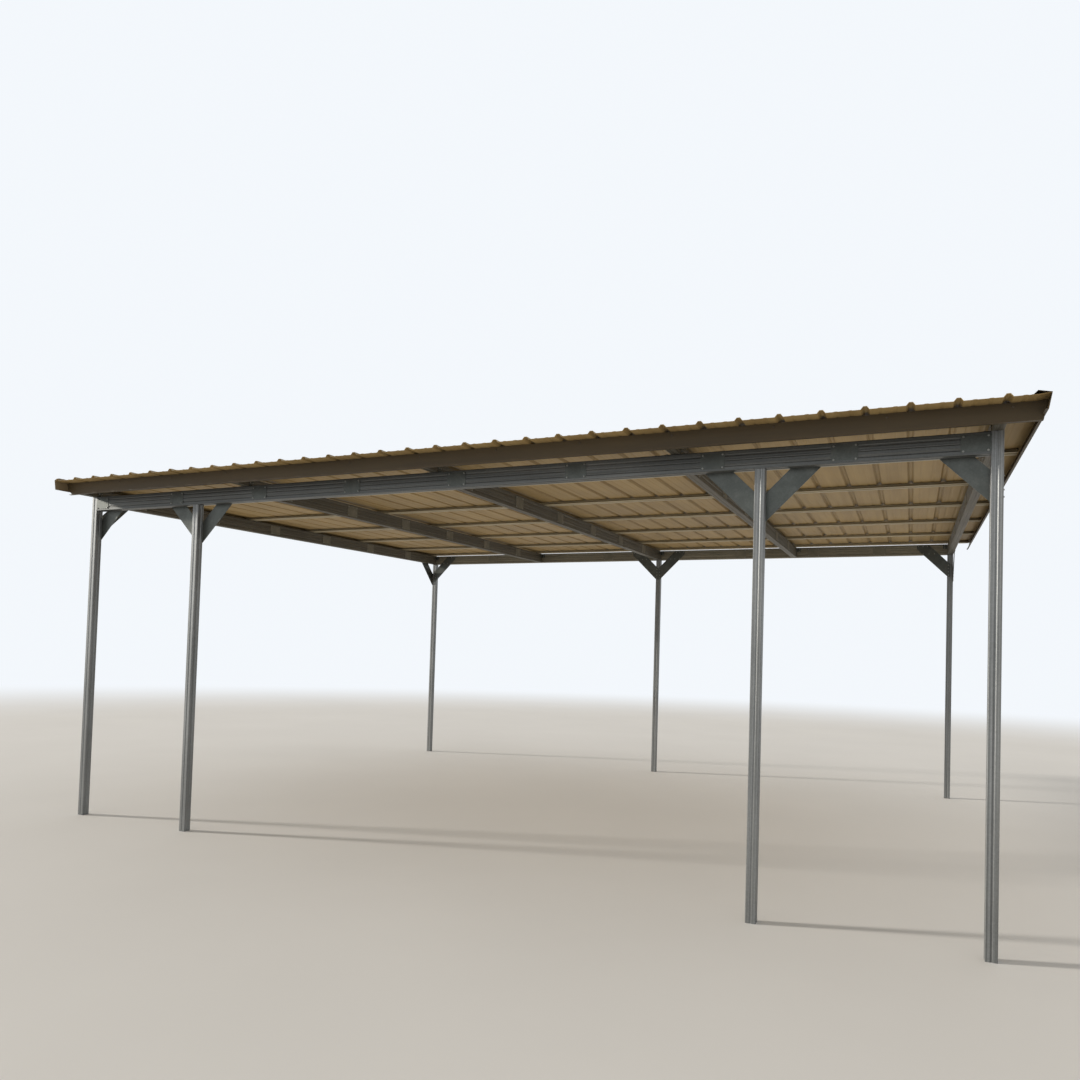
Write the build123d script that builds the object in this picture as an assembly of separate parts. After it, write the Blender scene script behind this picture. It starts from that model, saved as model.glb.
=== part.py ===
"""Free-standing patio cover: seven square steel posts carry two built-up headers, five
built-up rafters, hat-channel purlins and a ribbed steel sheet roof with formed trims.

Units are millimetres. X runs along the front row from left to right, Y runs back from the
front row and Z is up. The origin is at the middle of the whole cover, at floor level.
Every beam is two square tubes, one on top of the other, tied by flat plates.
"""
import os
from math import atan, degrees, sin, sqrt, tan

from build123d import *

# Frame
FRAME_LENGTH = 7315.0        # over the outer faces of the corner posts, 24 ft
FRAME_DEPTH = 5970.0         # over the outer faces of the front and rear posts
HEAD_ROOM = 2771.0           # floor to the underside of the front header
ROOF_SLOPE = 0.0153          # rise per run, the roof falls towards the front
LEFT_BAY = 1260.0            # front row, corner post to the next post, centre to centre
RIGHT_BAY = 1280.0
RAFTER_BAYS = 4
SEAT = 0.2                   # clearance between pieces that lie on each other

# Square tube with a rolled groove along the middle of each side
TUBE = 63.5
TUBE_WALL = 2.0
TUBE_CORNER = 4.0
GROOVE_WIDTH = 15.0
GROOVE_FLOOR = 6.0
GROOVE_DEPTH = 3.0

# Tie plates, flat plates that join the two tubes of a beam
TIE_THICKNESS = 2.0
TIE_LENGTH = 152.4
TIE_HEIGHT = 98.0
TIE_PITCH = 928.5
TIE_END = 107.0              # corner post's centre line to the first plate on a header
TIE_LAST_SPAN = 685.0        # between the last two plates on a header
TIE_RAFTER_FIRST = 425.0     # front row to the first plate on a rafter

# Knee plates, flat bands at 45 degrees in the corners between posts and beams
KNEE_THICKNESS = 2.0
KNEE_BAND = 127.0            # width of the band
KNEE_REACH_CORNER = 285.0    # post's centre line to the outer edge, at the beam's underside
KNEE_REACH_INNER = 350.0
KNEE_REACH_REAR = 295.0
KNEE_REACH_SIDE = 350.0
KNEE_END = 73.0              # from there out to the plate's upright end
KNEE_LAP = 117.0             # how far a plate runs up the face of its beam
KNEE_TOE = 25.0              # width of the plate's cut-off lower tip
KNEE_MIDDLE_GAP = 2.0        # post's centre line to the plate

# Angle clips that fix the rafters to the headers
CLIP_LEG = 48.0
CLIP_LENGTH = 50.0
CLIP_THICKNESS = 2.0

# Hat channels across the rafters
HAT_HEIGHT = 25.4
HAT_TOP = 38.0
HAT_FLANGE = 24.0
HAT_WEB_RUN = 7.0
HAT_WALL = 1.5
HAT_PITCH = 1016.0
HAT_FIRST = 907.0            # front row to the first hat channel at the pitch
HAT_FRONT_CLEARANCE = 4.0    # front fascia to the foremost hat channel
HAT_REAR_SETBACK = 126.0     # rear row's centre line to the last hat channel
HAT_END_CLEARANCE = 20.0     # rake trims to the ends of the hat channels

# Ribbed roof sheets
SHEET = 1.2
RIB_PITCH = 228.6
RIBS_PER_SHEET = 4
RIB_HEIGHT = 19.0
RIB_BASE = 46.0
RIB_TOP = 18.0
MINOR_RIBS = 2
MINOR_HEIGHT = 2.0
MINOR_BASE = 28.0
MINOR_TOP = 12.0
LAP_GAP = 0.3
EDGE_LIP = 12.0              # flat outside the outermost rib
LEFT_RIB_OFFSET = 45.0       # first rib outside the left post's centre line
RIGHT_EDGE_OFFSET = 209.0    # sheets' right edge outside the right post's centre line
EDGE_RISE = 5.0              # how far the cut right edge is bent up
EDGE_RISE_RUN = 55.0
FRONT_OVERHANG = 370.0       # front row's centre line to the front edge of the sheets
REAR_OVERHANG = 150.0

# Front fascia and rake trims
TRIM = 1.2
FASCIA_SETBACK = 120.0       # sheets' front edge to the fascia
FASCIA_DROP = 101.6
FASCIA_RETURN = 30.0
FASCIA_LIP = 10.0
FASCIA_END_GAP = 2.0         # to the face of a rake trim
FASCIA_CLIP = 45.0           # corner cut off the face at its lower left
RAKE_DROP = 95.0             # from the edge rib's top to the lower edge
RAKE_FALL = 13.5             # how far the top flange falls towards the face
RAKE_LEAN = 15.0             # how far the lower edge stands in from the face's top
RAKE_CLEARANCE = 1.5         # sheet's edge to the face's top
RAKE_RETURN = 14.0
RAKE_COVER = 12.0            # how far the left top flange runs past the edge rib
RAKE_TURN = 12.0
RAKE_CREST = 21.0            # right trim, where no rib carries it: height over the sheet
RAKE_CREST_IN = 60.0         # sheet's edge to the crest
RAKE_FOOT = 9.0              # flange that lies on the sheet

# Places that follow from the sizes, from the left front post's centre line at floor level
HALF = TUBE / 2
SPAN_X = FRAME_LENGTH - TUBE
SPAN_Y = FRAME_DEPTH - TUBE
PAIR = 2 * TUBE + SEAT
SLANT = sqrt(1 + ROOF_SLOPE ** 2)
FRONT_TOP = HEAD_ROOM + PAIR
RAFTER_TOP = FRONT_TOP + SEAT + TUBE + ROOF_SLOPE * HALF
REAR_TOP = RAFTER_TOP + ROOF_SLOPE * (SPAN_Y - HALF)
REAR_BOTTOM = REAR_TOP - PAIR
SHEET_SEAT = SEAT + HAT_HEIGHT + SEAT
FRONT_EDGE = -FRONT_OVERHANG
REAR_EDGE = SPAN_Y + REAR_OVERHANG
FASCIA_FACE = FRONT_EDGE + FASCIA_SETBACK
RIB_FIRST = -LEFT_RIB_OFFSET
SHEET_WIDTH = RIBS_PER_SHEET * RIB_PITCH
EDGE = RIB_BASE / 2 + EDGE_LIP
ROOF_LEFT = RIB_FIRST - EDGE
ROOF_RIGHT = SPAN_X + RIGHT_EDGE_OFFSET
RAKE_SEAT = SHEET + SEAT
RAKE_TOP = RIB_HEIGHT + SEAT
RAKE_BOTTOM = RAKE_TOP - RAKE_DROP
LEFT_CORNER = RAKE_TOP - RAKE_FALL
RIGHT_CORNER = RAKE_CREST - RAKE_FALL
RAKE_STEP_IN = RAKE_CREST_IN + RAKE_CREST - RAKE_SEAT
RAKE_END = ROOF_RIGHT - RAKE_STEP_IN - RAKE_FOOT
FULL_SHEETS = int((RAKE_END - RIB_BASE / 2 - RIB_FIRST) / SHEET_WIDTH)
LAST_LAP = RIB_FIRST + FULL_SHEETS * SHEET_WIDTH
HAT_WIDTH = HAT_TOP + 2 * HAT_WEB_RUN + 2 * HAT_FLANGE
MIDDLE_X = (ROOF_LEFT + ROOF_RIGHT) / 2
MIDDLE_Y = (FRONT_EDGE + REAR_EDGE) / 2

RAFTER_LINES = [SPAN_X * i / RAFTER_BAYS for i in range(RAFTER_BAYS + 1)]
FRONT_POSTS = [0, LEFT_BAY, SPAN_X - RIGHT_BAY, SPAN_X]
REAR_POSTS = [0, SPAN_X / 2, SPAN_X]


def roof_height(y):
    """Height of the rafters' top at a place behind the front row."""
    return RAFTER_TOP + ROOF_SLOPE * y


def tube_section():
    """Section of the rolled tube, centred on the origin of the XY plane."""
    groove = Rotation(0, 0, -90) * Trapezoid(GROOVE_WIDTH, GROOVE_DEPTH, degrees(groove_angle()), rotation=180)
    grooves = PolarLocations(HALF - GROOVE_DEPTH / 2, 4) * groove
    inside = offset(Rectangle(TUBE, TUBE) - grooves, amount=-TUBE_WALL, kind=Kind.INTERSECTION)
    return RectangleRounded(TUBE, TUBE, TUBE_CORNER) - grooves - inside


def groove_angle():
    """Angle of the groove's flanks against the side of the tube."""
    return atan(2 * GROOVE_DEPTH / (GROOVE_WIDTH - GROOVE_FLOOR))


SECTION = tube_section()


def post(x, y, top):
    """A post from the floor to a height."""
    return Pos(x, y, 0) * extrude(SECTION, amount=top)


def header(y, bottom, x_start, x_end):
    """Two level tubes along X, one above the other."""
    tubes = []
    for z in (bottom + HALF, bottom + TUBE + SEAT + HALF):
        plane = Plane(origin=(x_start, y, z), x_dir=(0, 1, 0), z_dir=(1, 0, 0))
        tubes.append(extrude(plane * SECTION, amount=x_end - x_start))
    return tubes


def up_slope(section, y_start, y_end, x=0, below=0):
    """Extrude a section drawn in X and Z along the roof slope, with upright ends.

    The section's origin is put below the rafters' top plane by the given distance.
    """
    plane = Plane(origin=(x, y_start, roof_height(y_start) - below), x_dir=(1, 0, 0), z_dir=(0, -1, 0))
    return extrude(plane * section, amount=(y_end - y_start) * SLANT, dir=(0, 1, ROOF_SLOPE))


def rafter(x):
    """Two tubes up the slope. The upper one rests on the front header and carries the fascia."""
    rear_end = SPAN_Y - HALF - SEAT
    upper = up_slope(SECTION, FASCIA_FACE + TRIM + SEAT, rear_end, x, HALF)
    lower = up_slope(SECTION, HALF + SEAT, rear_end, x, TUBE + SEAT + HALF)
    return [upper, lower]


def face_plate(outline, side_y, thickness):
    """A flat plate drawn in X and Z, on the front (-1) or the back (+1) face of a tube."""
    offset_y = side_y * (HALF + SEAT + thickness / 2)
    return Pos(0, offset_y, 0) * (Rot(90, 0, 0) * extrude(outline, amount=thickness / 2, both=True))


def knee_outline(reach):
    """Band at 45 degrees to the right of a post's centre line.

    Heights are from the underside of the beam. The lower tip, the upright end and the top
    are cut square.
    """
    inner = reach - KNEE_BAND * sqrt(2)
    points = [
        (KNEE_MIDDLE_GAP, KNEE_MIDDLE_GAP - inner),
        (KNEE_MIDDLE_GAP, KNEE_TOE - reach),
        (KNEE_TOE, KNEE_TOE - reach),
        (reach + KNEE_END, KNEE_END),
        (reach + KNEE_END, KNEE_LAP),
        (inner + KNEE_LAP, KNEE_LAP),
    ]
    return make_face(Polyline(*points, close=True))


def header_knee(x, y, beam_bottom, reach, turn, side_y):
    """Knee plate in the plane of a header, turned to the right (+1) or the left (-1)."""
    plate = face_plate(knee_outline(reach), side_y, KNEE_THICKNESS)
    if turn < 0:
        plate = mirror(plate, about=Plane.YZ)
    return Pos(x, y, beam_bottom) * plate


def side_knee(x, y, side_x, turn):
    """Knee plate in the plane of an end rafter, on its outer side (side_x)."""
    plate = face_plate(knee_outline(KNEE_REACH_SIDE), 1, KNEE_THICKNESS)
    if turn < 0:
        plate = mirror(plate, about=Plane.YZ)
    beam_bottom = roof_height(y + turn * KNEE_REACH_SIDE) - PAIR
    plate = Rot(0, 0, 90) * plate
    if side_x > 0:
        plate = mirror(plate, about=Plane.YZ)
    return Pos(x, y, beam_bottom) * plate


def header_ties(y, bottom, covers, covered_side):
    """Tie plates on both faces of a header, left out where other steel covers the joint.

    The covers are pairs of a place along the header and how far they reach to both sides.
    """
    plate = Rectangle(TIE_LENGTH, TIE_HEIGHT)
    pitches = int((SPAN_X - 2 * TIE_END - TIE_LAST_SPAN - TIE_LENGTH) / TIE_PITCH)
    places = [TIE_END + TIE_PITCH * i for i in range(pitches + 1)]
    places += [SPAN_X - TIE_END - TIE_LAST_SPAN, SPAN_X - TIE_END]
    pieces = []
    for x in places:
        for side in (-1, 1):
            covered = any(abs(x - middle) < reach + TIE_LENGTH / 2 + 1 for middle, reach in covers)
            if side == covered_side and covered:
                continue
            pieces.append(Pos(x, y, bottom + PAIR / 2) * face_plate(plate, side, TIE_THICKNESS))
    return pieces


def rafter_ties(x):
    """Tie plates on both sides of a rafter, left out where a knee plate covers the joint."""
    plate = Rectangle(TIE_LENGTH, TIE_HEIGHT)
    knee_zone = KNEE_REACH_SIDE + KNEE_END + TIE_LENGTH / 2 + 1
    knee_side = {0: 1, SPAN_X: -1}.get(x)
    pieces = []
    y = TIE_RAFTER_FIRST
    while y < SPAN_Y - knee_zone:
        for side in (-1, 1):
            if side == knee_side and y < knee_zone:
                continue
            flat = Rot(0, -degrees(atan(ROOF_SLOPE)), 0) * face_plate(plate, side, TIE_THICKNESS)
            pieces.append(Pos(x, y, roof_height(y) - PAIR / 2) * (Rot(0, 0, 90) * flat))
        y += TIE_PITCH
    return pieces


def angle_clip():
    """A short angle with its corner edge along Z and its legs along X and Y."""
    legs = Rectangle(CLIP_LEG, CLIP_THICKNESS, align=Align.MIN)
    legs += Rectangle(CLIP_THICKNESS, CLIP_LEG, align=Align.MIN)
    return extrude(legs, amount=CLIP_LENGTH / 2, both=True)


def rafter_clips(x):
    """Clips on top of the front header and against the rear header, beside a rafter."""
    pieces = []
    for side in (-1, 1):
        if not 0 < x + side * HALF < SPAN_X:
            continue
        front = Pos(HALF + SEAT, 0, FRONT_TOP + SEAT) * (Rot(90, 0, 0) * angle_clip())
        rear = Pos(HALF + SEAT, SPAN_Y - HALF - SEAT, REAR_TOP - HALF) * (Rot(0, 0, -90) * angle_clip())
        for clip in (front, rear):
            if side < 0:
                clip = mirror(clip, about=Plane.YZ)
            pieces.append(Pos(x, 0, 0) * clip)
    return pieces


def strip_face(points, thickness):
    """Face of a folded sheet's section: the points run along its underside, left to right."""
    line = Polyline(*points)
    return make_face(offset(line, amount=thickness, side=Side.LEFT, kind=Kind.INTERSECTION))


def hat_channel(y):
    """A hat channel across the rafters, centred at a place behind the front row."""
    inside = HAT_HEIGHT - HAT_WALL
    foot = HAT_TOP / 2 + HAT_WEB_RUN
    points = [
        (-foot - HAT_FLANGE, 0),
        (-foot, 0),
        (-HAT_TOP / 2, inside),
        (HAT_TOP / 2, inside),
        (foot, 0),
        (foot + HAT_FLANGE, 0),
    ]
    x_start = ROOF_LEFT + HAT_END_CLEARANCE
    x_end = ROOF_RIGHT - HAT_END_CLEARANCE
    plane = Plane(origin=(x_start, y, roof_height(y) + SEAT), x_dir=(0, 1, ROOF_SLOPE), z_dir=(1, 0, 0))
    return extrude(plane * strip_face(points, HAT_WALL), amount=x_end - x_start)


def rib(x, inset=0):
    """Underside points of a main rib, set in by a distance where it lies beneath a lap."""
    height = RIB_HEIGHT - SHEET
    flank = atan(height / ((RIB_BASE - RIB_TOP) / 2))
    foot = RIB_BASE / 2 - inset / sin(flank)
    top = RIB_TOP / 2 - inset * tan(flank / 2)
    return [(x - foot, 0), (x - top, height - inset), (x + top, height - inset), (x + foot, 0)]


def minor_ribs(x_start, limit):
    """Underside points of the low ribs that follow a main rib, as far as they end before a limit."""
    points = []
    for i in range(1, MINOR_RIBS + 1):
        x = x_start + RIB_PITCH * i / (MINOR_RIBS + 1)
        if x + MINOR_BASE / 2 > limit:
            break
        points += [
            (x - MINOR_BASE / 2, 0),
            (x - MINOR_TOP / 2, MINOR_HEIGHT),
            (x + MINOR_TOP / 2, MINOR_HEIGHT),
            (x + MINOR_BASE / 2, 0),
        ]
    return points


def lap_start(x):
    """Underside points of a rib that lies over the last rib of the sheet before it."""
    points = rib(x)
    rise = (SHEET + LAP_GAP) / points[1][1]
    points[0] = (points[0][0] + (points[1][0] - points[0][0]) * rise, SHEET + LAP_GAP)
    return points


def lap_end(x):
    """Underside points of the smaller rib that a sheet tucks beneath the next one."""
    points = rib(x, SHEET + LAP_GAP)
    points[3] = ((points[2][0] + points[3][0]) / 2, points[2][1] / 2)
    return points


def roof_panel(x_first, first):
    """A full sheet, up the slope, with its left rib over the sheet before it."""
    points = [(ROOF_LEFT, 0)] + rib(x_first) if first else lap_start(x_first)
    for i in range(1, RIBS_PER_SHEET):
        x = x_first + i * RIB_PITCH
        points += minor_ribs(x - RIB_PITCH, x) + rib(x)
    x = x_first + SHEET_WIDTH
    points += minor_ribs(x - RIB_PITCH, x) + lap_end(x)
    return up_slope(strip_face(points, SHEET), FRONT_EDGE, REAR_EDGE, 0, -SHEET_SEAT)


def edge_strip():
    """The cut strip of sheet at the right edge, bent up a little under the rake trim."""
    points = lap_start(LAST_LAP)
    ribs = int((RAKE_END - RIB_BASE / 2 - LAST_LAP) / RIB_PITCH)
    last = LAST_LAP + ribs * RIB_PITCH
    for i in range(1, ribs + 1):
        x = LAST_LAP + i * RIB_PITCH
        points += minor_ribs(x - RIB_PITCH, x) + rib(x)
    points += minor_ribs(last, RAKE_END) + [(ROOF_RIGHT - EDGE_RISE_RUN, 0), (ROOF_RIGHT, EDGE_RISE)]
    return up_slope(strip_face(points, SHEET), FRONT_EDGE, REAR_EDGE, 0, -SHEET_SEAT)


def face_reach(height, corner):
    """How far the inside of a rake trim's face stands out from the sheets' edge.

    Both heights are measured from the underside of the sheets; the corner is the face's top.
    """
    return RAKE_CLEARANCE - RAKE_LEAN * (corner - height) / (corner - RAKE_BOTTOM)


def fascia():
    """Front fascia between the rake trims, with a return and a lip along its lower edge.

    Its ends are cut to the lean of the rake trims, and the face's lower left corner is cut off.
    """
    points = [
        (FASCIA_RETURN, FASCIA_LIP - FASCIA_DROP),
        (FASCIA_RETURN, -FASCIA_DROP),
        (0, -FASCIA_DROP),
        (0, 0),
    ]
    section = make_face(offset(Polyline(*points), amount=TRIM, side=Side.RIGHT, kind=Kind.INTERSECTION))
    left = ROOF_LEFT - face_reach(0, LEFT_CORNER) + FASCIA_END_GAP
    left_foot = ROOF_LEFT - face_reach(-FASCIA_DROP, LEFT_CORNER) + FASCIA_END_GAP
    right = ROOF_RIGHT + face_reach(0, RIGHT_CORNER) - FASCIA_END_GAP
    right_foot = ROOF_RIGHT + face_reach(-FASCIA_DROP, RIGHT_CORNER) - FASCIA_END_GAP
    place = Pos(0, FASCIA_FACE, roof_height(FASCIA_FACE) + SHEET_SEAT - SEAT)
    whole = extrude(Plane(origin=(left, 0, 0), x_dir=(0, 1, 0), z_dir=(1, 0, 0)) * section, amount=right - left)
    outline = make_face(Polyline(
        (left, 0),
        (left_foot, -FASCIA_DROP - TRIM),
        (right_foot, -FASCIA_DROP - TRIM),
        (right, 0),
        close=True,
    ))
    clip_foot = left_foot + FASCIA_CLIP
    clip = make_face(Polyline(
        (clip_foot + TRIM, -FASCIA_DROP - TRIM),
        (clip_foot - 2 * FASCIA_CLIP, -FASCIA_DROP - TRIM),
        (clip_foot - 2 * FASCIA_CLIP, 2 * FASCIA_CLIP - FASCIA_DROP),
        close=True,
    ))
    between = Rot(90, 0, 0) * extrude(outline, amount=2 * FASCIA_RETURN, both=True)
    corner = Rot(90, 0, 0) * extrude(clip, amount=TRIM, both=True)
    return place * ((whole & between) - corner)


def rake_trim(edge, side, flange, corner):
    """Trim over a roof edge: a top flange on the sheets and a leaning face outside them.

    The flange's points are distances in from the sheets' edge and heights over their underside.
    """
    foot = RAKE_LEAN - RAKE_CLEARANCE
    points = flange + [(-RAKE_CLEARANCE, corner), (foot, RAKE_BOTTOM), (foot + RAKE_RETURN, RAKE_BOTTOM)]
    section = make_face(offset(Polyline(*points), amount=TRIM, side=Side.RIGHT, kind=Kind.INTERSECTION))
    if side > 0:
        section = mirror(section, about=Plane.YZ)
    trim = up_slope(section, FRONT_EDGE, REAR_EDGE, edge, -SHEET_SEAT)
    return trim - fascia_notch(edge, side, corner)


def fascia_notch(edge, side, corner):
    """What the return of a rake trim gives up where the fascia passes it."""
    notch = Box(RAKE_RETURN + FASCIA_END_GAP, TRIM + 2 * FASCIA_END_GAP, 4 * TRIM)
    x = edge + side * (face_reach(RAKE_BOTTOM, corner) - (RAKE_RETURN + FASCIA_END_GAP) / 2)
    return Pos(x, FASCIA_FACE + TRIM / 2, roof_height(FASCIA_FACE) + SHEET_SEAT + RAKE_BOTTOM) * notch


nodes = {}

for number, x in enumerate(FRONT_POSTS, 1):
    corner = x in (0, SPAN_X)
    nodes[f"front_post_{number}"] = [post(x, 0, FRONT_TOP if corner else HEAD_ROOM - SEAT)]
for number, x in enumerate(REAR_POSTS, 1):
    corner = x in (0, SPAN_X)
    nodes[f"rear_post_{number}"] = [post(x, SPAN_Y, REAR_TOP if corner else REAR_BOTTOM - SEAT)]

header_start = HALF + SEAT
header_end = SPAN_X - HALF - SEAT
nodes["front_header"] = header(0, HEAD_ROOM, header_start, header_end)
nodes["rear_header"] = header(SPAN_Y, REAR_BOTTOM, header_start, header_end)
for number, x in enumerate(RAFTER_LINES, 1):
    nodes[f"rafter_{number}"] = rafter(x)

front_reach = [KNEE_REACH_CORNER, KNEE_REACH_INNER, KNEE_REACH_INNER, KNEE_REACH_CORNER]
front_knees = list(zip(FRONT_POSTS, front_reach))
rear_knees = [(x, KNEE_REACH_REAR) for x in REAR_POSTS]
front_covers = [(x, reach + KNEE_END) for x, reach in front_knees]
rear_covers = [(x, reach + KNEE_END) for x, reach in rear_knees]
rear_covers += [(x, HALF + SEAT + CLIP_LEG) for x in RAFTER_LINES]
nodes["front_header_tie_plates"] = header_ties(0, HEAD_ROOM, front_covers, 1)
nodes["rear_header_tie_plates"] = header_ties(SPAN_Y, REAR_BOTTOM, rear_covers, -1)
nodes["rafter_tie_plates"] = [plate for x in RAFTER_LINES for plate in rafter_ties(x)]
nodes["rafter_clips"] = [clip for x in RAFTER_LINES for clip in rafter_clips(x)]

for row, y, beam_bottom, knees, face_side in (
        ("front", 0, HEAD_ROOM, front_knees, 1), ("rear", SPAN_Y, REAR_BOTTOM, rear_knees, -1)):
    for number, (x, reach) in enumerate(knees, 1):
        turns = [turn for turn in (-1, 1) if 0 <= x + turn * reach <= SPAN_X]
        plates = [header_knee(x, y, beam_bottom, reach, turn, face_side) for turn in turns]
        if x in (0, SPAN_X):
            plates.append(side_knee(x, y, -1 if x == 0 else 1, face_side))
        nodes[f"{row}_post_{number}_knee_plates"] = plates

hat_places = [FASCIA_FACE + TRIM + HAT_FRONT_CLEARANCE + HAT_WIDTH / 2]
hat_last = SPAN_Y - HAT_REAR_SETBACK
hat_pitches = int((hat_last - HAT_WIDTH - HAT_FIRST) / HAT_PITCH)
hat_places += [HAT_FIRST + HAT_PITCH * i for i in range(hat_pitches + 1)]
hat_places.append(hat_last)
for number, y in enumerate(hat_places, 1):
    nodes[f"hat_channel_{number}"] = [hat_channel(y)]

for number in range(1, FULL_SHEETS + 1):
    x_first = RIB_FIRST + (number - 1) * SHEET_WIDTH
    nodes[f"roof_panel_{number}"] = [roof_panel(x_first, number == 1)]
nodes["roof_edge_strip"] = [edge_strip()]
nodes["front_fascia"] = [fascia()]
over_rib = [
    (EDGE + RIB_TOP / 2 + RAKE_COVER, RAKE_TOP - RAKE_TURN),
    (EDGE + RIB_TOP / 2 + RAKE_COVER, RAKE_TOP),
    (EDGE - RIB_TOP / 2 - SHEET, RAKE_TOP),
]
on_flat = [
    (RAKE_STEP_IN + RAKE_FOOT, RAKE_SEAT),
    (RAKE_STEP_IN, RAKE_SEAT),
    (RAKE_CREST_IN, RAKE_CREST),
]
nodes["left_rake_trim"] = [rake_trim(ROOF_LEFT, -1, over_rib, LEFT_CORNER)]
nodes["right_rake_trim"] = [rake_trim(ROOF_RIGHT, 1, on_flat, RIGHT_CORNER)]

os.makedirs("parts", exist_ok=True)
for name, pieces in nodes.items():
    solids = [solid for piece in pieces for solid in piece.solids()]
    export_step(Pos(-MIDDLE_X, -MIDDLE_Y, 0) * Compound(children=solids), f"parts/{name}.step")
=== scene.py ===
"""Looks of the patio cover: galvanised and painted steel, screws, and a plain studio.

Units are metres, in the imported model's frame: X along the front row, Y back, Z up.
"""
import math

import bmesh
import bpy
from mathutils import Matrix, Vector
from mathutils.bvhtree import BVHTree


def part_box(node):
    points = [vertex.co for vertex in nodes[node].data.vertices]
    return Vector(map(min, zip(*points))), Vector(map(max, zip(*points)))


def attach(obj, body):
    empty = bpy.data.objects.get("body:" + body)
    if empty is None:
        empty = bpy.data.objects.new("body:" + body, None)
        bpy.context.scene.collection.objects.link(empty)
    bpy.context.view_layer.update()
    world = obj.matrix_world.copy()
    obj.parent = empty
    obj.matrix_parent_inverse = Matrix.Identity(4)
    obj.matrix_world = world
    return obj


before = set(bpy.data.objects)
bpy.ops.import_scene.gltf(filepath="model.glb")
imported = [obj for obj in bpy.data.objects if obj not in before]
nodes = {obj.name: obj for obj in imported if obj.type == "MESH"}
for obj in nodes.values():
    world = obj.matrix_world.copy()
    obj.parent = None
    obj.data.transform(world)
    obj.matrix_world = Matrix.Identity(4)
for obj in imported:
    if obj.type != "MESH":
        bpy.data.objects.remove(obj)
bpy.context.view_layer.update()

# The photographer's place and view, from a fit of the camera to the photograph
CAMERA_AT = (6.83053, -5.14481, 1.60344)     # from the foot of the left front post's axis
YAW = -0.42807
PITCH = 0.03158
ROLL = 0.03030
FOCAL_PX = 819.66
PHOTO_PX = 1080
CENTRE_COLUMN = 537.10
CENTRE_ROW = 625.83
SENSOR_MM = 36.0

# Colours, in linear light
# The galvanised tubes and plates are one zinc: the posts carry its colour, and the other zinc colours
# below differ from it by painted light
POST_ZINC = (0.218, 0.225, 0.224, 1)
# Painted shade: the front header darkened for the shade under the roof's overhang
HEADER_ZINC = (0.112, 0.116, 0.112, 1)
# Painted shade and warm bounce light: the rafters darkened and tinted warm for the light under the roof
RAFTER_ZINC = (0.122, 0.111, 0.086, 1)
# Painted warm bounce light: the rear header tinted warm for the light under the roof
REAR_ZINC = (0.230, 0.212, 0.165, 1)
# Painted shade: the knee plates, the front header's tie plates and the clips darkened for the shade at the
# post tops
PLATE_ZINC = (0.097, 0.104, 0.095, 1)
# Painted sunlight and warm bounce light: the tie plates under the roof lightened and tinted warm
INNER_PLATE_ZINC = (0.195, 0.181, 0.141, 1)
ZINC_DUST = (0.42, 0.41, 0.38, 1)
# Painted light: the hat channels are zinc, drawn warm tan for the warm light under the roof and lightened
# to offset their own shade
CHANNEL = (0.54, 0.475, 0.335, 1)
CHANNEL_DARK = (0.45, 0.39, 0.27, 1)
TAN = (0.42, 0.295, 0.127, 1)
TAN_DARK = (0.345, 0.235, 0.098, 1)
SHADED_TOP_TAN = (0.335, 0.262, 0.158, 1)         # the roof's upper side: darker and greyer than its underside, painted shade and sky reflection
BROWN = (0.085, 0.062, 0.032, 1)
BROWN_DARK = (0.065, 0.047, 0.025, 1)
BACKING = (0.29, 0.225, 0.140, 1)            # the inner sides of the fascia and the left rake trim
SCREW_ZINC = (0.33, 0.33, 0.31, 1)
SCREW_TAN = (0.36, 0.26, 0.15, 1)
SCREW_BROWN = (0.080, 0.060, 0.036, 1)
FLOOR_LIGHT = (0.73, 0.72, 0.70, 1)
FLOOR_DARK = (0.70, 0.69, 0.67, 1)
BACKDROP = (0.90, 0.935, 0.975, 1)
SKY = (1.0, 0.97, 0.92, 1)
SUNLIGHT = (1.0, 0.94, 0.85)

# Scales of the patterns, the larger the finer
FINE = 150.0                                 # rolling lines, across a tube
LONG = 0.35                                  # rolling lines, along a tube
PLAIN = 14.0                                 # flat steel, the same every way
FINEST_PATCH = 24.0                          # dusty patches follow the lines no further than this
PATCH_TO_LINES = 0.9
CLOUDS = (2.2, 2.2, 2.2)
SPANGLE = (120.0, 120.0, 120.0)
STREAK_ACROSS = 9.0
STREAK_ALONG = 0.45
DUST = (1.4, 1.4, 1.4)
ENAMEL_GRAIN = (260.0, 260.0, 260.0)
WEAR = (45.0, 45.0, 45.0)
FLOOR_CLOUDS = (0.5, 0.5, 0.5)

# Where in a pattern, from 0 to 1, the tones set in
LINE_STOPS = (0.36, 0.50, 0.64)
PATCH_STOPS = (0.55, 0.72)
CLOUD_STOPS = (0.35, 0.65)
STREAK_STOPS = (0.32, 0.62)
WEAR_STOPS = (0.35, 0.65)
FOLD_STOPS = (0.45, 0.95)
FLOOR_STOPS = (0.3, 0.7)

# Shades that a pattern lays on a colour
CLOUD_TONES = (0.88, 1.04)
SPANGLE_TONES = (0.90, 1.08)
BRIGHT_LINES = 1.6                           # lines brighten this much more than they darken
SIDE_STREAK_DARK = 0.85
WORN = 0.72

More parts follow.
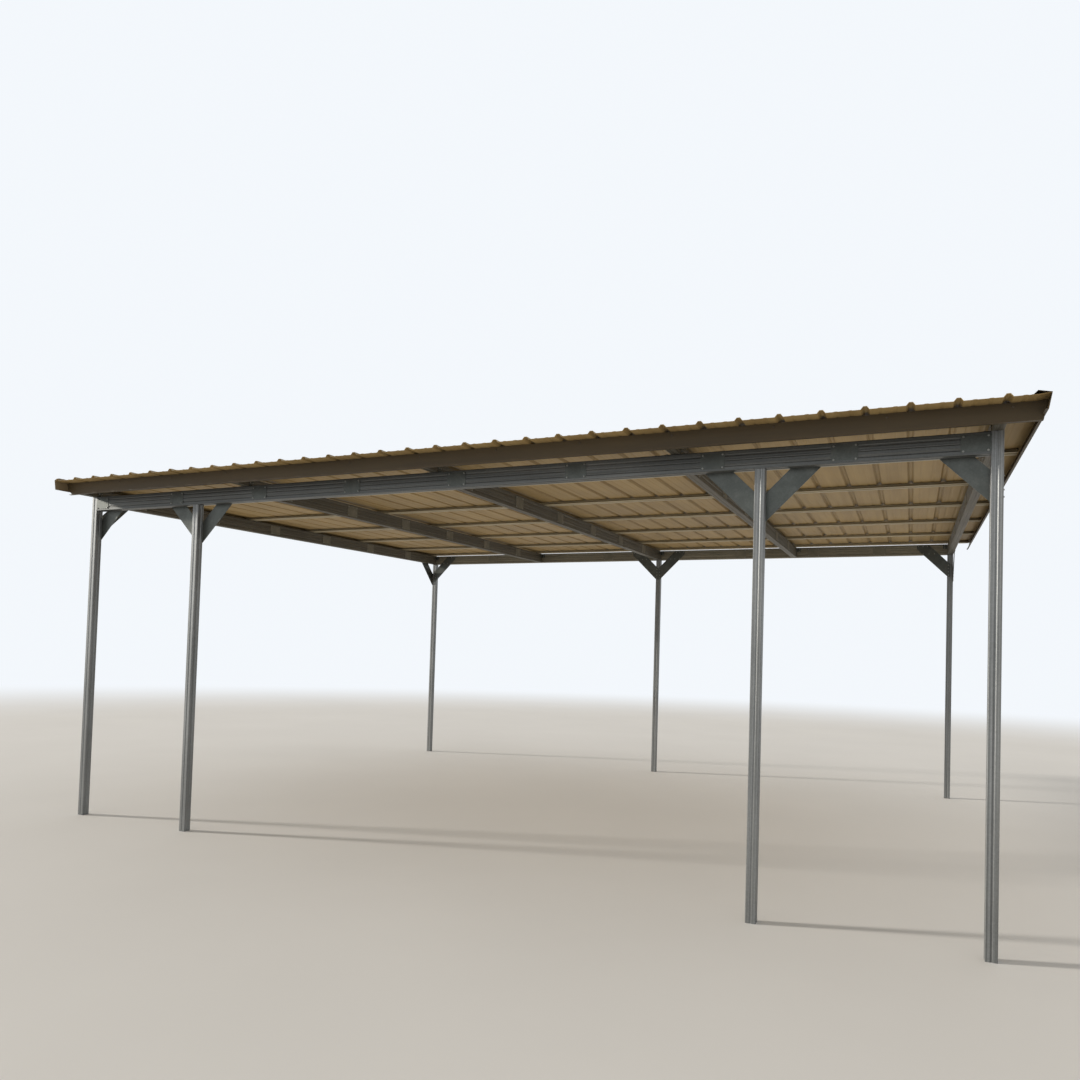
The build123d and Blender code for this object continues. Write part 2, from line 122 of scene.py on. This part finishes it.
# Surface: bumps are a strength and a height
LINE_BUMP = (0.10, 0.0004)
ENAMEL_BUMP = (0.06, 0.0003)
CLEAN_SMOOTHER = 0.06                        # roughness of clean enamel, below its middle value
DUSTY_ROUGHER = 0.08                         # roughness of dusty enamel, above it
ENAMEL_SPECULAR = 0.3
SCREW_ROUGHNESS = (0.32, 0.50)
FLOOR_ROUGHNESS = 0.9
TURNED = 0.3                                 # cosine from which a face counts as turned a way
FOLD_DEPTH = 0.06                            # how deep a fold or corner still takes painted shade
FOLD_SAMPLES = 8

# Steel under the roof is duller than steel that the weather reaches
INNER = {"dust": 0.10, "metallic": 0.45, "smooth": 0.48, "dull": 0.66}

ALONG_X = 0
ALONG_Y = 1
RIGHTWARD = (1, 0, 0)
BACKWARD = (0, 1, 0)
UPWARD = (0, 0, 1)

# Screws: a hexagonal head on a domed washer
WASHER_RADIUS = 0.0065
WASHER_HEIGHT = 0.0014
WASHER_SIDES = 14
DOME_SHARE = 0.8                             # the dome's flat top, as a share of the washer
HEAD_RADIUS = 0.0046
HEAD_HEIGHT = 0.0045
HEAD_SIDES = 6
CAST = 0.2                                   # how far off a surface each placing ray starts
SAME_POINT = 1e-5                            # corners closer than this are one corner

# Where the screws sit on plates, clips and hat channels
TIE_SCREW_ALONG = 0.062                      # from a tie plate's middle
TIE_SCREW_UP = 0.041
CLIP_SCREW_OUT = 0.030                       # from a clip's corner
CLIP_SCREW_PITCH = 0.026
FLANGE_SCREW_IN = 0.012

# Screws of a knee plate: (out from the edge at the post, up from the lower tip) down the post,
# and (in from the far end, down from the top) on the beam
KNEE_POST_SCREWS = [(0.017, 0.022), (0.017, 0.062), (0.017, 0.102), (0.017, 0.142)]
KNEE_BEAM_SCREWS = [
    (0.018, 0.011), (0.068, 0.011), (0.116, 0.011),
    (0.070, 0.104), (0.135, 0.104), (0.195, 0.104),
]

# Where the screws sit on the roof sheets and the trims
RIB_PITCH = 0.2286
EDGE_TO_RIB = 0.035                          # roof's left edge to the middle of its first rib
RIB_TO_SCREW = 0.045
RAKE_SCREW_IN = 0.045                        # roof's right edge to the screws of the rake trim
RAKE_WIDTH = 0.10
TRIM_SCREW_PITCH = 0.61
TRIM_SCREW_END = 0.06
FASCIA_SCREW_DOWN = 0.022

# Floor and light
FLOOR_SIZE = 60.0
FADE_FROM = 12.0                             # from here to there the floor fades into the backdrop
FADE_TO = 26.0
SUN_AZIMUTH = -71                            # degrees, from the front to the right
SUN_ELEVATION = 17
SUN_STRENGTH = 3.0
SUN_SOFTNESS = 5                             # degrees across
SKY_STRENGTH = 0.55
BACKDROP_STRENGTH = 1.0

FRONT_POSTS = sorted(name for name in nodes if name.startswith("front_post") and name[-1].isdigit())
REAR_POSTS = sorted(name for name in nodes if name.startswith("rear_post") and name[-1].isdigit())
HEADERS = ["front_header", "rear_header"]
RAFTERS = sorted(name for name in nodes if name.startswith("rafter") and name[-1].isdigit())
HATS = sorted(name for name in nodes if name.startswith("hat_channel"))
SHEETS = sorted(name for name in nodes if name.startswith("roof_"))


def middle(name):
    """The middle of a CAD node's box."""
    low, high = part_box(name)
    return (low + high) / 2


def grey(value):
    """A grey colour."""
    return (value, value, value, 1)


def shade(colour, factor):
    """A colour made lighter or darker."""
    return tuple(value * factor for value in colour[:3]) + (1,)


class Nodes:
    """Short calls for one material's node tree."""

    def __init__(self, name):
        self.material = bpy.data.materials.new(name)
        self.material.use_nodes = True
        self.tree = self.material.node_tree
        self.shader = self.tree.nodes["Principled BSDF"]

    def add(self, kind, **values):
        """A new node with some of its settings."""
        node = self.tree.nodes.new(kind)
        for key, value in values.items():
            setattr(node, key, value)
        return node

    def link(self, output, socket):
        """Join an output to a socket."""
        self.tree.links.new(output, socket)

    def place(self, scale):
        """The object's own coordinates, stretched by a scale for each axis."""
        coordinates = self.add("ShaderNodeTexCoord")
        mapping = self.add("ShaderNodeMapping")
        mapping.inputs["Scale"].default_value = scale
        self.link(coordinates.outputs["Object"], mapping.inputs["Vector"])
        return mapping.outputs["Vector"]

    def noise(self, scale, detail=4.0, roughness=0.5):
        """A cloudy pattern from 0 to 1."""
        node = self.add("ShaderNodeTexNoise")
        node.inputs["Scale"].default_value = 1.0
        node.inputs["Detail"].default_value = detail
        node.inputs["Roughness"].default_value = roughness
        self.link(self.place(scale), node.inputs["Vector"])
        return node.outputs["Fac"]

    def ramp(self, value, stops, colours):
        """A colour ramp with a colour at each stop."""
        node = self.add("ShaderNodeValToRGB")
        elements = node.color_ramp.elements
        while len(elements) < len(stops):
            elements.new(0.5)
        for element, position, colour in zip(elements, stops, colours):
            element.position = position
            element.color = colour
        self.link(value, node.inputs["Fac"])
        return node.outputs["Color"]

    def tones(self, value, stops, greys):
        """A ramp of greys, to multiply or mix with."""
        return self.ramp(value, stops, [grey(tone) for tone in greys])

    def spread(self, value, low, high):
        """A value from 0 to 1 spread over a range."""
        node = self.add("ShaderNodeMapRange")
        node.inputs["To Min"].default_value = low
        node.inputs["To Max"].default_value = high
        self.link(value, node.inputs["Value"])
        return node.outputs["Result"]

    def mix(self, factor, first, second, blend="MIX"):
        """Two colours mixed or multiplied, by a number or by another node's value."""
        node = self.add("ShaderNodeMix", data_type="RGBA", blend_type=blend)
        sockets = (node.inputs[0], node.inputs[6], node.inputs[7])
        for socket, value in zip(sockets, (factor, first, second)):
            if isinstance(value, (int, float, tuple)):
                socket.default_value = value
            else:
                self.link(value, socket)
        return node.outputs[2]

    def multiply(self, first, second):
        """Two colours multiplied."""
        return self.mix(1.0, first, second, "MULTIPLY")

    def bump(self, height, strength, distance):
        """Fine relief from a pattern."""
        node = self.add("ShaderNodeBump")
        node.inputs["Strength"].default_value = strength
        node.inputs["Distance"].default_value = distance
        self.link(height, node.inputs["Height"])
        self.link(node.outputs["Normal"], self.shader.inputs["Normal"])


def galvanised(name, zinc, grain, contrast, dust=0.25, metallic=0.7, smooth=0.30, dull=0.52):
    """Zinc-coated steel: rolling lines or a plain grain, spangle, and pale dusty patches.

    Contrast is that of the lines. Smooth and dull are the roughness where it is clean and dusty.
    """
    n = Nodes(name)
    lines = n.noise(grain, detail=3.0)
    patch_scale = tuple(min(scale, FINEST_PATCH) * PATCH_TO_LINES for scale in grain)
    patches = n.noise(patch_scale, roughness=0.6)
    clouds = n.noise(CLOUDS, detail=3.0)
    spangle = n.add("ShaderNodeTexVoronoi")
    spangle.inputs["Scale"].default_value = 1.0
    n.link(n.place(SPANGLE), spangle.inputs["Vector"])
    line_colours = (shade(zinc, 1 - contrast), zinc, shade(zinc, 1 + BRIGHT_LINES * contrast))
    base = n.ramp(lines, LINE_STOPS, line_colours)
    base = n.multiply(base, n.tones(spangle.outputs["Color"], (0.0, 1.0), SPANGLE_TONES))
    base = n.mix(n.tones(patches, PATCH_STOPS, (0.0, dust)), base, ZINC_DUST)
    base = n.multiply(base, n.tones(clouds, CLOUD_STOPS, CLOUD_TONES))
    n.link(base, n.shader.inputs["Base Color"])
    n.link(n.spread(patches, smooth, dull), n.shader.inputs["Roughness"])
    n.shader.inputs["Metallic"].default_value = metallic
    n.bump(lines, *LINE_BUMP)
    return n.material


def painted(name, light, dark, streak_axis, roughness, second=None, painted_fold_shade=None):
    """Factory-baked enamel on steel with faint dust and rain streaks.

    A second colour is a direction and a colour, which the faces turned that way show: the backing coat on
    the trims' inner sides, and painted shade on the roof's upper side.
    The fold shade darkens the colour in folds and corners, down to this factor: painted shade.
    """
    n = Nodes(name)
    stretch = [STREAK_ACROSS, STREAK_ACROSS, STREAK_ACROSS]
    stretch[streak_axis] = STREAK_ALONG
    streaks = n.noise(stretch, detail=6.0, roughness=0.62)
    dust = n.noise(DUST)
    base = n.ramp(streaks, STREAK_STOPS, (dark, light))
    if second is not None:
        way, colour = second
        facing = n.add("ShaderNodeVectorMath", operation="DOT_PRODUCT")
        n.link(n.add("ShaderNodeNewGeometry").outputs["Normal"], facing.inputs[0])
        facing.inputs[1].default_value = way
        turned = n.add("ShaderNodeMath", operation="GREATER_THAN")
        turned.inputs[1].default_value = TURNED
        n.link(facing.outputs["Value"], turned.inputs[0])
        coat_and_shade = n.ramp(streaks, STREAK_STOPS, (shade(colour, SIDE_STREAK_DARK), colour))
        base = n.mix(turned.outputs[0], base, coat_and_shade)
    base = n.multiply(base, n.tones(dust, CLOUD_STOPS, CLOUD_TONES))
    # Painted shade: the colour darkened where ambient occlusion finds folds and corners
    if painted_fold_shade is not None:
        folds = n.add("ShaderNodeAmbientOcclusion", samples=FOLD_SAMPLES)
        folds.inputs["Distance"].default_value = FOLD_DEPTH
        base = n.multiply(base, n.tones(folds.outputs["AO"], FOLD_STOPS, (painted_fold_shade, 1.0)))
    n.link(base, n.shader.inputs["Base Color"])
    dull = n.spread(dust, roughness - CLEAN_SMOOTHER, roughness + DUSTY_ROUGHER)
    n.link(dull, n.shader.inputs["Roughness"])
    n.shader.inputs["Metallic"].default_value = 0.0
    n.shader.inputs["Specular IOR Level"].default_value = ENAMEL_SPECULAR
    n.bump(n.noise(ENAMEL_GRAIN, detail=2.0), *ENAMEL_BUMP)
    return n.material


def screw_finish(name, colour, metallic):
    """A plated or painted screw, a little worn from place to place."""
    n = Nodes(name)
    wear = n.noise(WEAR, detail=3.0)
    n.link(n.ramp(wear, WEAR_STOPS, (shade(colour, WORN), colour)), n.shader.inputs["Base Color"])
    n.link(n.spread(wear, *SCREW_ROUGHNESS), n.shader.inputs["Roughness"])
    n.shader.inputs["Metallic"].default_value = metallic
    return n.material


HEADER = galvanised("galvanised_header", HEADER_ZINC, (LONG, FINE, FINE), contrast=0.16)
REAR_HEADER = galvanised("galvanised_rear_header", REAR_ZINC, (LONG, FINE, FINE), contrast=0.16, **INNER)
RAFTER = galvanised("galvanised_rafter", RAFTER_ZINC, (FINE, LONG, FINE), contrast=0.16, **INNER)
POST = galvanised(
    "galvanised_post", POST_ZINC, (FINE, FINE, LONG), contrast=0.20, smooth=0.40, dull=0.60)
PLATE = galvanised("galvanised_plate", PLATE_ZINC, (PLAIN, PLAIN, PLAIN), contrast=0.08, dust=0.08)
INNER_PLATE = galvanised(
    "galvanised_inner_plate", INNER_PLATE_ZINC, (PLAIN, PLAIN, PLAIN), contrast=0.08, **INNER)
# The hat channels' warm, light tan is painted light on zinc
HAT = painted("channel_painted_light", CHANNEL, CHANNEL_DARK, ALONG_X, roughness=0.50)
# The roof sheets' upper side has a painted shade colour
SHEET = painted(
    "roof_enamel", TAN, TAN_DARK, ALONG_Y, roughness=0.55, second=(UPWARD, SHADED_TOP_TAN), painted_fold_shade=0.72)
FASCIA = painted(
    "fascia_enamel", BROWN, BROWN_DARK, ALONG_X, roughness=0.50, second=(BACKWARD, BACKING))
LEFT_RAKE = painted(
    "left_rake_enamel", BROWN, BROWN_DARK, ALONG_Y, roughness=0.50, second=(RIGHTWARD, BACKING))
RIGHT_RAKE = painted("right_rake_enamel", BROWN, BROWN_DARK, ALONG_Y, roughness=0.50)
ZINC_SCREW = screw_finish("screw_zinc", SCREW_ZINC, metallic=0.8)
TAN_SCREW = screw_finish("screw_tan", SCREW_TAN, metallic=0.0)
BROWN_SCREW = screw_finish("screw_brown", SCREW_BROWN, metallic=0.0)

# The first of these words that a node's name holds gives its finish
FINISHES = [
    ("rafter_tie_plates", INNER_PLATE),
    ("rear_header_tie_plates", INNER_PLATE),
    ("plates", PLATE),
    ("clips", PLATE),
    ("post", POST),
    ("rear_header", REAR_HEADER),
    ("header", HEADER),
    ("rafter", RAFTER),
    ("hat", HAT),
    ("fascia", FASCIA),
    ("left_rake", LEFT_RAKE),
    ("right_rake", RIGHT_RAKE),
]


def finish_of(name):
    """The material that a CAD node shows."""
    for word, finish in FINISHES:
        if word in name:
            return finish
    return SHEET


for name, piece in nodes.items():
    piece.data.materials.clear()
    piece.data.materials.append(finish_of(name))


# Screws, each seated on the CAD surface that a ray finds
def surface(*names):
    """The faces of some CAD nodes, to cast rays on."""
    points = []
    faces = []
    for name in names:
        mesh = nodes[name].data
        start = len(points)
        points += [vertex.co.copy() for vertex in mesh.vertices]
        faces += [[start + index for index in face.vertices] for face in mesh.polygons]
    return BVHTree.FromPolygons(points, faces)


def islands(name):
    """The boxes of the separate pieces that a CAD node holds."""
    joined = bmesh.new()
    joined.from_mesh(nodes[name].data)
    bmesh.ops.remove_doubles(joined, verts=joined.verts, dist=SAME_POINT)
    boxes = []
    seen = set()
    for vertex in joined.verts:
        if vertex in seen:
            continue
        seen.add(vertex)
        piece = [vertex]
        for member in piece:
            for edge in member.link_edges:
                other = edge.other_vert(member)
                if other not in seen:
                    seen.add(other)
                    piece.append(other)
        corners = [[member.co[axis] for member in piece] for axis in range(3)]
        low = Vector([min(values) for values in corners])
        high = Vector([max(values) for values in corners])
        boxes.append((low, high))
    joined.free()
    return boxes


def thin_axis(low, high):
    """The level axis, 0 or 1, across an upright plate."""
    size = high - low
    return 0 if size.x < size.y else 1


def unit(axis, way):
    """One step along an axis, forward (1) or back (-1)."""
    step = Vector((0, 0, 0))
    step[axis] = way
    return step


class Screws:
    """One merged piece of screws with the same finish."""

    def __init__(self, name, target, material, slot):
        self.name = name
        self.target = target
        self.material = material
        self.slot = slot
        self.points = []
        self.faces = []

    def ring(self, place, turn, radius, height, sides):
        """A ring of points around the screw's axis."""
        start = len(self.points)
        for i in range(sides):
            angle = 2 * math.pi * i / sides
            local = Vector((radius * math.cos(angle), radius * math.sin(angle), height))
            self.points.append(place + turn @ local)
        return list(range(start, start + sides))

    def join(self, lower, upper):
        """The band of faces between two rings."""
        for i in range(len(lower)):
            k = (i + 1) % len(lower)
            self.faces.append([lower[i], lower[k], upper[k], upper[i]])

    def drive(self, point, direction):
        """Seat a screw where a ray through a point meets the target."""
        direction = Vector(direction).normalized()
        place, normal = self.target.ray_cast(Vector(point) - CAST * direction, direction)[:2]
        if place is None:
            raise ValueError(f"{self.name}: no steel at {tuple(point)}")
        if normal.dot(direction) > 0:
            normal = -normal
        turn = normal.to_track_quat("Z", "Y").to_matrix()
        rim = self.ring(place, turn, WASHER_RADIUS, 0, WASHER_SIDES)
        dome = self.ring(place, turn, WASHER_RADIUS * DOME_SHARE, WASHER_HEIGHT, WASHER_SIDES)
        foot = self.ring(place, turn, HEAD_RADIUS, WASHER_HEIGHT, HEAD_SIDES)
        top = self.ring(place, turn, HEAD_RADIUS, WASHER_HEIGHT + HEAD_HEIGHT, HEAD_SIDES)
        self.join(rim, dome)
        self.join(foot, top)
        self.faces.append(dome)
        self.faces.append(top)

    def build(self):
        """Make the piece from all the screws driven so far."""
        mesh = bpy.data.meshes.new(self.name)
        mesh.from_pydata(self.points, [], self.faces)
        mesh.materials.append(self.material)
        piece = bpy.data.objects.new(self.name, mesh)
        bpy.context.scene.collection.objects.link(piece)
        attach(piece, "root")


def tie_plate_screws():
    """A screw in each corner of every tie plate, on the face away from its beam."""
    for name in ("front_header_tie_plates", "rear_header_tie_plates", "rafter_tie_plates"):
        screws = Screws(name.replace("plates", "screws"), surface(name), ZINC_SCREW, "galvanised_plate")
        for low, high in islands(name):
            centre = (low + high) / 2
            thin = thin_axis(low, high)
            beams = RAFTERS if thin == 0 else HEADERS
            beam = min((middle(node)[thin] for node in beams), key=lambda value: abs(value - centre[thin]))
            inward = unit(thin, -1 if centre[thin] > beam else 1)
            for along in (-TIE_SCREW_ALONG, TIE_SCREW_ALONG):
                for up in (-TIE_SCREW_UP, TIE_SCREW_UP):
                    point = centre.copy()
                    point[1 - thin] += along
                    point.z += up
                    screws.drive(point, inward)
        screws.build()


def knee_plate_screws():
    """Rows of screws where each knee plate lies on its post and on its beam."""
    for post in FRONT_POSTS + REAR_POSTS:
        node = post + "_knee_plates"
        screws = Screws(post + "_knee_screws", surface(node), ZINC_SCREW, "galvanised_plate")
        centre = middle(post)
        for low, high in islands(node):
            thin = thin_axis(low, high)
            along = 1 - thin
            mid = (low + high) / 2
            turn = 1 if mid[along] > centre[along] else -1
            near, far = (low[along], high[along]) if turn > 0 else (high[along], low[along])
            inward = unit(thin, 1 if mid[thin] < centre[thin] else -1)
            places = [(near + turn * out, low.z + up) for out, up in KNEE_POST_SCREWS]
            places += [(far - turn * back, high.z - down) for back, down in KNEE_BEAM_SCREWS]
            for reach, height in places:
                point = mid.copy()
                point[along] = reach
                point.z = height
                screws.drive(point, inward)
        screws.build()


def clip_screws():
    """Two screws in each leg of the angle clips.

    One leg of a clip stands at the rafter's side. The other lies on the front header's top,
    or stands against the rear header's face.
    """
    screws = Screws("rafter_clip_screws", surface("rafter_clips"), ZINC_SCREW, "galvanised_plate")
    lines = [middle(name).x for name in RAFTERS]
    front = middle("front_header").y
    for low, high in islands("rafter_clips"):
        centre = (low + high) / 2
        line = min(lines, key=lambda value: abs(value - centre.x))
        side = 1 if centre.x > line else -1
        corner = low.x if side > 0 else high.x
        at_front = abs(centre.y - front) < high.y - low.y
        for step in (-CLIP_SCREW_PITCH / 2, CLIP_SCREW_PITCH / 2):
            if at_front:
                screws.drive((corner, centre.y + step, low.z + CLIP_SCREW_OUT), (-side, 0, 0))
                screws.drive((corner + side * CLIP_SCREW_OUT, centre.y + step, low.z), (0, 0, -1))
            else:
                screws.drive((corner, high.y - CLIP_SCREW_OUT, centre.z + step), (-side, 0, 0))
                screws.drive((corner + side * CLIP_SCREW_OUT, high.y, centre.z + step), (0, 1, 0))
    screws.build()


def hat_channel_screws():
    """A screw in each flange of a hat channel at every rafter."""
    for name in HATS:
        screws = Screws(name.replace("channel", "screws"), surface(name), ZINC_SCREW, "galvanised_channel")
        low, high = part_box(name)
        for line in (middle(rafter).x for rafter in RAFTERS):
            for y in (low.y + FLANGE_SCREW_IN, high.y - FLANGE_SCREW_IN):
                screws.drive((line, y, high.z), (0, 0, -1))
        screws.build()


def roof_screws():
    """A painted screw beside every rib at every hat channel."""
    screws = Screws("roof_screws", surface(*SHEETS), TAN_SCREW, "roof_sheet")
    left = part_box("roof_panel_1")[0].x + EDGE_TO_RIB
    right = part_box("roof_edge_strip")[1].x - RAKE_WIDTH
    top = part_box("roof_panel_1")[1].z
    x = left + RIB_TO_SCREW
    while x < right:
        for name in HATS:
            screws.drive((x, middle(name).y, top), (0, 0, -1))
        x += RIB_PITCH
    screws.build()


def trim_screws():
    """Painted screws along the tops of the rake trims and the face of the fascia."""
    for name in ("left_rake_trim", "right_rake_trim"):
        screws = Screws(name.replace("trim", "screws"), surface(name), BROWN_SCREW, "trim")
        low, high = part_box(name)
        if name.startswith("left"):
            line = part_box("roof_panel_1")[0].x + EDGE_TO_RIB
        else:
            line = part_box("roof_edge_strip")[1].x - RAKE_SCREW_IN
        y = low.y + TRIM_SCREW_END
        while y < high.y:
            screws.drive((line, y, high.z), (0, 0, -1))
            y += TRIM_SCREW_PITCH
        screws.build()
    screws = Screws("fascia_screws", surface("front_fascia"), BROWN_SCREW, "trim")
    low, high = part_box("front_fascia")
    x = low.x + TRIM_SCREW_END
    while x < high.x:
        screws.drive((x, low.y, high.z - FASCIA_SCREW_DOWN), (0, 1, 0))
        x += TRIM_SCREW_PITCH
    screws.build()


tie_plate_screws()
knee_plate_screws()
clip_screws()
hat_channel_screws()
roof_screws()
trim_screws()


# Floor, camera and light
def seen_rays(tree):
    """1 for the rays that see or mirror the background, 0 for those that light the object."""
    rays = tree.nodes.new("ShaderNodeLightPath")
    seen = rays.outputs["Is Camera Ray"]
    for name in ("Is Glossy Ray", "Is Transmission Ray"):
        either = tree.nodes.new("ShaderNodeMath")
        either.operation = "MAXIMUM"
        tree.links.new(seen, either.inputs[0])
        tree.links.new(rays.outputs[name], either.inputs[1])
        seen = either.outputs[0]
    return seen


def floor():
    """A plain pale floor that keeps the shadow and fades into the backdrop far away."""
    mesh = bpy.data.meshes.new("floor")
    half = FLOOR_SIZE / 2
    corners = [(-half, -half, 0), (half, -half, 0), (half, half, 0), (-half, half, 0)]
    mesh.from_pydata(corners, [], [(0, 1, 2, 3)])
    piece = bpy.data.objects.new("floor", mesh)
    bpy.context.scene.collection.objects.link(piece)
    n = Nodes("floor_grey")
    pale = n.ramp(n.noise(FLOOR_CLOUDS), FLOOR_STOPS, (FLOOR_DARK, FLOOR_LIGHT))
    n.link(pale, n.shader.inputs["Base Color"])
    n.shader.inputs["Roughness"].default_value = FLOOR_ROUGHNESS
    away = n.add("ShaderNodeVectorMath", operation="LENGTH")
    n.link(n.place((1, 1, 1)), away.inputs[0])
    fade = n.add("ShaderNodeMapRange", interpolation_type="SMOOTHSTEP")
    fade.inputs["From Min"].default_value = FADE_FROM
    fade.inputs["From Max"].default_value = FADE_TO
    n.link(away.outputs["Value"], fade.inputs["Value"])
    share = n.add("ShaderNodeMath", operation="MULTIPLY")
    n.link(fade.outputs["Result"], share.inputs[0])
    n.link(seen_rays(n.tree), share.inputs[1])
    far = n.add("ShaderNodeEmission")
    far.inputs["Color"].default_value = BACKDROP
    both = n.add("ShaderNodeMixShader")
    n.link(share.outputs[0], both.inputs[0])
    n.link(n.shader.outputs["BSDF"], both.inputs[1])
    n.link(far.outputs[0], both.inputs[2])
    n.link(both.outputs[0], n.tree.nodes["Material Output"].inputs["Surface"])
    mesh.materials.append(n.material)


def add_camera():
    """The camera of the photograph: its place, turn, lens and the crop's shift."""
    right0 = Vector((math.cos(YAW), -math.sin(YAW), 0))
    level = math.cos(PITCH)
    forward = Vector((math.sin(YAW) * level, math.cos(YAW) * level, math.sin(PITCH)))
    up0 = right0.cross(forward)
    right = math.cos(ROLL) * right0 + math.sin(ROLL) * up0
    up = -math.sin(ROLL) * right0 + math.cos(ROLL) * up0
    data = bpy.data.cameras.new("camera")
    data.sensor_fit = "HORIZONTAL"
    data.sensor_width = SENSOR_MM
    data.lens = FOCAL_PX / PHOTO_PX * SENSOR_MM
    data.shift_x = (PHOTO_PX / 2 - CENTRE_COLUMN) / PHOTO_PX
    data.shift_y = (CENTRE_ROW - PHOTO_PX / 2) / PHOTO_PX
    piece = bpy.data.objects.new("camera", data)
    turn = Matrix((right, up, -forward)).transposed().to_4x4()
    left_foot = middle("front_post_1") * Vector((1, 1, 0))
    piece.matrix_world = Matrix.Translation(left_foot + Vector(CAMERA_AT)) @ turn
    bpy.context.scene.collection.objects.link(piece)
    bpy.context.scene.camera = piece


def add_sun():
    """A soft low lamp from the left, as in the photograph."""
    data = bpy.data.lights.new("key", "SUN")
    data.energy = SUN_STRENGTH
    data.angle = math.radians(SUN_SOFTNESS)
    data.color = SUNLIGHT
    piece = bpy.data.objects.new("key", data)
    a = math.radians(SUN_AZIMUTH)
    e = math.radians(SUN_ELEVATION)
    source = Vector((math.sin(a) * math.cos(e), -math.cos(a) * math.cos(e), math.sin(e)))
    piece.rotation_euler = source.to_track_quat("Z", "Y").to_euler()
    bpy.context.scene.collection.objects.link(piece)


def add_sky():
    """Even light all round, behind a backdrop that only the seeing rays meet."""
    world = bpy.data.worlds.new("studio")
    bpy.context.scene.world = world
    world.use_nodes = True
    tree = world.node_tree
    tree.nodes.clear()
    ambient = tree.nodes.new("ShaderNodeBackground")
    ambient.inputs["Color"].default_value = SKY
    ambient.inputs["Strength"].default_value = SKY_STRENGTH
    backdrop = tree.nodes.new("ShaderNodeBackground")
    backdrop.inputs["Color"].default_value = BACKDROP
    backdrop.inputs["Strength"].default_value = BACKDROP_STRENGTH
    blend = tree.nodes.new("ShaderNodeMixShader")
    output = tree.nodes.new("ShaderNodeOutputWorld")
    tree.links.new(seen_rays(tree), blend.inputs[0])
    tree.links.new(ambient.outputs[0], blend.inputs[1])
    tree.links.new(backdrop.outputs[0], blend.inputs[2])
    tree.links.new(blend.outputs[0], output.inputs["Surface"])


floor()
add_camera()
add_sun()
add_sky()
bpy.context.scene.view_settings.view_transform = "Standard"
